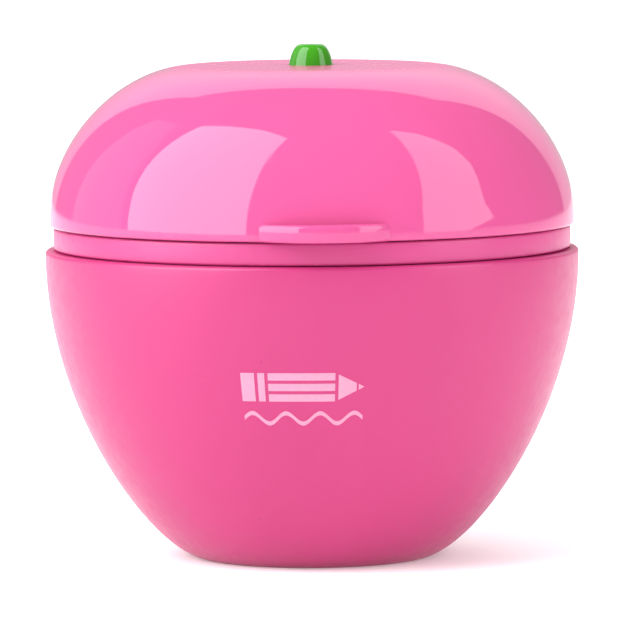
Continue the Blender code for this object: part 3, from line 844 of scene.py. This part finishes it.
def blade_frame(hole):
    """The blade face's own axes: X along X, Y up the slope, Z outwards."""
    angle = math.radians(hole["half_angle"])
    outwards = Vector((0, -math.cos(angle), -math.sin(angle)))
    up_slope = Vector((0, -math.sin(angle), math.cos(angle)))
    depth = cone_radius(hole, BLOCK_BOTTOM) - CUT_DEPTH / math.cos(angle)
    matrix = Matrix((Vector((1, 0, 0)), up_slope, outwards)).transposed().to_4x4()
    matrix.translation = Vector((hole["x"], -depth, BLOCK_BOTTOM))
    return matrix


def blade_centre(hole):
    """The middle of a blade on its face; its cutting edge runs over the cone's axis."""
    return Vector((-hole["blade_width"] / 2, BLADE_LENGTH / 2 + 0.4 * MM, 0))


def face_tools(name, hole, x_low, x_high):
    """What cuts one blade's sloping face, its chip slot and its screw's hole."""
    length = (BLADE_FACE_TOP - BLOCK_BOTTOM) / math.cos(math.radians(hole["half_angle"]))
    face = box(f"{name}_face", (x_low - hole["x"], -BEYOND, 0), (x_high - hole["x"], length, 9 * MM))
    throat = box(f"{name}_throat", (THROAT_LEFT, -BEYOND, -MM), (THROAT_RIGHT, length - MM, 2 * MM))
    tap_bottom = blade_centre(hole) - Vector((0, 0, TAP_DEPTH))
    tap = cylinder(f"{name}_tap", tap_bottom, blade_centre(hole) + Vector((0, 0, MM)), SHANK_HOLE)
    for tool in (face, throat, tap):
        tool.matrix_world = blade_frame(hole)
    return [face, throat, tap]


def bore_tool(name, hole):
    """What bores one pencil hole: a chamfered guide above a cone."""
    foot = BLOCK_BOTTOM - MM
    top = FLANGE_TOP + MM
    lip = hole["guide"] + HOLE_CHAMFER + 0.3 * MM
    corners = [
        (0.0, top),
        (lip, top),
        (lip, FLANGE_TOP + 0.02 * MM),
        (hole["guide"], FLANGE_TOP - HOLE_CHAMFER),
        (hole["guide"], hole["cone_top"]),
        (cone_radius(hole, foot), foot),
        (0.0, foot),
    ]
    bore = turned(f"{name}_bore", rounded(corners, [0.0, 0.0, 1.2 * MM, 0.8 * MM, 0.0], 6), HOLE_STEPS)
    bore.location.x = hole["x"]
    return bore


def make_block(material):
    flange = stadium(FLANGE_LENGTH, FLANGE_WIDTH, 48)
    block = prism("block_fine", flange, FLANGE_BOTTOM, FLANGE_TOP, 0.25 * MM)
    outline = rounded_rectangle(BLOCK_HALF_X, BLOCK_HALF_Y, 0.5 * MM, 6)
    body = prism("block_body", outline, BLOCK_BOTTOM, FLANGE_BOTTOM + 0.5 * MM, 0.2 * MM)
    lap = 0.1 * MM
    spans = (("standard", STANDARD, -BLOCK_HALF_X - BEYOND, BLADE_PLANES_MEET + lap),
             ("jumbo", JUMBO, BLADE_PLANES_MEET - lap, BLOCK_HALF_X + BEYOND))
    removed = []
    for name, hole, x_low, x_high in spans:
        tools = face_tools(name, hole, x_low, x_high)
        removed += [bore_tool(name, hole), *tools]
    seat = FLANGE_TOP - HEAD_HEIGHT - 0.05 * MM
    for side, sign in SIDES:
        x = sign * FLANGE_SCREW_X
        shank = (x, 0, FLANGE_BOTTOM - MM), (x, 0, FLANGE_TOP + MM)
        head = (x, 0, seat), (x, 0, FLANGE_TOP + 0.9 * MM)
        removed.append(cylinder(f"hole_{side}", *shank, SHANK_HOLE))
        removed.append(cylinder(f"seat_{side}", *head, HEAD_RADIUS + 0.2 * MM))
    shape(block, [body], removed)
    return finished(block, material, "carrier", "block_plastic", "sharpener_block")


def make_blade(name, hole, material):
    """A blade ground along both long edges, with a hole for its screw."""
    half = hole["blade_width"] / 2
    thick = hole["blade_thickness"]
    grind = 1.0 * MM
    edge = 0.12 * MM
    section = [(-half, 0.0), (half, 0.0), (half, edge), (half - grind, thick), (-half + grind, thick),
               (-half, edge)]
    blade = prism(name + "_fine", section, -BLADE_LENGTH / 2, BLADE_LENGTH / 2)
    blade.data.transform(Matrix.Rotation(math.radians(90), 4, "X"))
    shape(blade, [], [cylinder(name + "_hole", (0, 0, -MM), (0, 0, 2 * MM), SHANK_HOLE + 0.2 * MM)])
    on_face = blade_centre(hole) + Vector((0, 0, BLADE_GAP))
    blade.data.transform(blade_frame(hole) @ Matrix.Translation(on_face))
    return finished(blade, material, "carrier", "blade_steel", name)


def screw_profile(shank_length):
    """A domed head and a pointed shank, with its thread as rings."""
    root = SHANK_RADIUS * 0.8
    dome = HEAD_HEIGHT * 0.55
    rim = 0.05 * MM
    pitch = 0.4 * MM
    thread_top = -0.5 * MM
    head = arc((0, HEAD_HEIGHT - dome), HEAD_RADIUS, dome, 90, 0, 12)
    profile = [*head, (HEAD_RADIUS, rim), (HEAD_RADIUS - rim, 0.0), (root, 0.0)]
    for i in range(int((shank_length - 1.4 * MM) / pitch)):
        start = thread_top - i * pitch
        profile += [(root, start), (SHANK_RADIUS, start - pitch / 2)]
    profile += [(SHANK_RADIUS * 0.75, -shank_length + 0.6 * MM), (SHANK_RADIUS * 0.3, -shank_length),
                (0.0, -shank_length)]
    return profile


def make_screw(name, matrix, shank_length, recess, material):
    """A screw whose head has a slot right across it or a shorter cross."""
    screw = turned(name + "_fine", screw_profile(shank_length), SMALL_STEPS, smooth_angle=40)
    arms, reach = (1, HEAD_RADIUS * 2.0) if recess == "slot" else (2, HEAD_RADIUS * 0.62)
    slot_half = 0.25 * MM
    slot_bottom = HEAD_HEIGHT * 0.45
    slots = []
    for i in range(arms):
        slot_top = (2 - i * 0.3) * MM  # of different heights, so that no two faces coincide
        slot = box(f"{name}_recess_{i}", (-reach, -slot_half, slot_bottom), (reach, slot_half, slot_top))
        slot.data.transform(Matrix.Rotation(math.radians(90 * i), 4, "Z"))
        slots.append(slot)
    shape(screw, [], slots, smooth_angle=40)
    screw.data.transform(matrix)
    return finished(screw, material, "carrier", "fastener_steel", name)


def make_screws(material):
    for name, hole in (("standard_blade_screw", STANDARD), ("jumbo_blade_screw", JUMBO)):
        lift = hole["blade_thickness"] + BLADE_GAP * 2
        matrix = blade_frame(hole) @ Matrix.Translation(blade_centre(hole) + Vector((0, 0, lift)))
        make_screw(name, matrix, 4.4 * MM, "slot", material)
    for side, sign in SIDES:
        matrix = Matrix.Translation((sign * FLANGE_SCREW_X, 0, FLANGE_TOP - HEAD_HEIGHT))
        make_screw(f"flange_screw_{side}", matrix, 6.6 * MM, "cross", material)


# ---- Floor, light and camera ----
BACKDROP_DISTANCE = 2.4
PANEL_DISTANCE = 2.7  # outside the backdrop, so that the floor is lit right up to it
FLOOR_HALF = 8.0
FLOOR_GLOW = 0.20
AIR_GLOW = 0.29
DIMMED = 0.46  # the share of a panel's light that is left at its dim spot


def direction(azimuth, elevation):
    """A unit vector from angles in degrees: azimuth 0 points to the front, -Y, and 90 to the right, +X."""
    a, e = math.radians(azimuth), math.radians(elevation)
    return Vector((math.sin(a) * math.cos(e), -math.cos(a) * math.cos(e), math.sin(e)))


def make_floor():
    """A pale table that glows a little, as a light table does."""
    bm = bmesh.new()
    bmesh.ops.create_grid(bm, x_segments=1, y_segments=1, size=FLOOR_HALF)
    floor = new_object("floor", bm)
    n = Nodes("pale_floor")
    n.colour(n.mix(n.noise(40.0, 2.0), (0.90,) * 3, (0.92,) * 3))
    n.shader.inputs["Roughness"].default_value = 0.8
    n.shader.inputs["Specular IOR Level"].default_value = 0.1
    n.shader.inputs["Emission Color"].default_value = (1, 1, 1, 1)
    n.shader.inputs["Emission Strength"].default_value = FLOOR_GLOW
    floor.data.materials.append(n.material)


def glow(name, strength, low_strength=None, dim_spot=None):
    """White light and nothing else; it can be weaker low down and be dimmed about a spot."""
    n = Nodes(name)
    n.shader.inputs["Base Color"].default_value = (0, 0, 0, 1)
    n.shader.inputs["Specular IOR Level"].default_value = 0.0
    n.shader.inputs["Emission Color"].default_value = (1, 1, 1, 1)
    n.shader.inputs["Emission Strength"].default_value = strength
    if dim_spot:
        heights = (0.2 * PANEL_DISTANCE, 0.75 * PANEL_DISTANCE)
        distances = (0.05 * PANEL_DISTANCE, 0.55 * PANEL_DISTANCE)
        rising = n.spread(n.height(), heights, (low_strength, strength))
        dimming = n.spread(n.distance_from(dim_spot), distances, (DIMMED, 1.0))
        n.link(n.maths("MULTIPLY", rising, dimming), n.shader.inputs["Emission Strength"])
    return n.material


def light_panel(name, corners, material, mirrored=True, shining=True):
    """A glowing panel with its corners given as (azimuth, elevation), all at one distance.

    A panel that isn't mirrored only lights, and one that doesn't shine only shows in reflections.
    """
    bm = bmesh.new()
    centre = Vector((0, 0, 40 * MM))
    verts = [bm.verts.new(centre + direction(a, e) * PANEL_DISTANCE) for a, e in corners]
    bm.faces.new(verts)
    bmesh.ops.triangulate(bm, faces=bm.faces)
    panel = new_object(name, bm)
    panel.data.materials.append(material)
    panel.visible_camera = False
    panel.visible_glossy = mirrored
    panel.visible_diffuse = shining


def make_backdrop():
    """A white studio wall all round, which only the camera sees: it gives no light and no reflection."""
    bm = bmesh.new()
    bmesh.ops.create_icosphere(bm, subdivisions=4, radius=BACKDROP_DISTANCE)
    backdrop = new_object("backdrop", bm)
    backdrop.data.materials.append(glow("backdrop_glow", 1.0))
    for sight in ("visible_diffuse", "visible_glossy", "visible_transmission", "visible_volume_scatter",
                  "visible_shadow"):
        setattr(backdrop, sight, False)


def make_lights():
    """Two tall soft boxes, a dim wall at the left, a panel behind, light from above and a front fill."""
    soft_box_left = glow("left_glow", 6.6)
    light_panel("left_panel", [(-31, 12), (-90, 12), (-97, 40), (-105, 59), (-58, 73), (-27, 71), (-31, 50)],
                soft_box_left)
    light_panel("left_panel_foot", [(-31, -4), (-89, -4), (-90, 12), (-31, 12)], soft_box_left, shining=False)
    light_panel("right_panel",
                [(46, -4), (47, 15), (52, 32), (58, 46), (66, 58), (75, 66), (85, 58), (89, 45), (87, 35),
                 (81, 20), (80, 14), (83, 5), (71, 0), (66, -4)],
                glow("right_glow", 4.3))
    light_panel("left_wall", [(-93, -4), (-130, -4), (-130, 45), (-116, 52), (-102, 40), (-95, 15)],
                glow("wall_glow", 1.0))
    light_panel("back_panel",
                [(206, -4), (210, 50), (195, 56), (175, 59), (155, 56), (140, 50), (139, 15), (141, -4),
                 (155, -4), (175, -4), (195, -4)],
                glow("back_glow", 2.1, low_strength=1.0, dim_spot=direction(180, 0) * PANEL_DISTANCE))
    light_panel("top_panel", [(i * 30, 62) for i in range(12)], glow("top_glow", 2.0), mirrored=False)
    light_panel("front_fill", [(-60, -2), (60, -2), (60, 16), (-60, 16)], glow("fill_glow", 1.0),
                mirrored=False)
    world = bpy.data.worlds.new("studio")
    bpy.context.scene.world = world
    world.use_nodes = True
    background = world.node_tree.nodes["Background"]
    background.inputs["Color"].default_value = (1, 1, 1, 1)
    background.inputs["Strength"].default_value = AIR_GLOW


def make_camera():
    """A long lens in front, a little above and a trace to the left, rolled a trace."""
    distance = 0.70
    height = 84.7 * MM
    azimuth = -2.7
    roll = -0.37
    focal_length = 379.9
    target = Vector((0, 0, 25.89 * MM))
    data = bpy.data.cameras.new("camera")
    camera = bpy.data.objects.new("camera", data)
    bpy.context.scene.collection.objects.link(camera)
    camera.location = direction(azimuth, 0) * distance
    camera.location.z = height
    aim = (target - camera.location).to_track_quat("-Z", "Y").to_matrix()
    camera.rotation_euler = (aim @ Matrix.Rotation(math.radians(roll), 3, "Z")).to_euler()
    data.sensor_width = 36.0
    data.lens = focal_length
    data.clip_start = 0.01
    data.clip_end = 20.0
    bpy.context.scene.camera = camera
    bpy.context.scene.view_settings.view_transform = "Standard"


def build():
    cup_plastic = satin_plastic("satin_pink_plastic", PINK)
    collar_plastic = satin_plastic("satin_hot_pink_plastic", COLLAR_PINK)
    lid_plastic = gloss_plastic("gloss_pink_plastic", HOT_PINK, satin_from=LID_TOP - 0.6 * MM)
    stem_plastic = gloss_plastic("gloss_green_plastic", GREEN)
    block_plastic = satin_plastic("satin_white_plastic", WHITE)
    blade_steel = steel("ground_blade_steel", STEEL, 0.25, (1, 0.05, 0.05))
    fastener_steel = steel("turned_steel", tinted(STEEL, 0.92), 0.3, (0.3, 0.3, 1))
    make_cup(cup_plastic)
    make_print(ink("print_ink", PRINT_PINK))
    make_carrier(collar_plastic)
    make_hinge_pin(fastener_steel)
    make_block(block_plastic)
    make_blade("standard_blade", STANDARD, blade_steel)
    make_blade("jumbo_blade", JUMBO, blade_steel)
    make_screws(fastener_steel)
    make_lid(lid_plastic)
    make_stem(stem_plastic)
    make_floor()
    make_backdrop()
    make_lights()
    make_camera()


build()
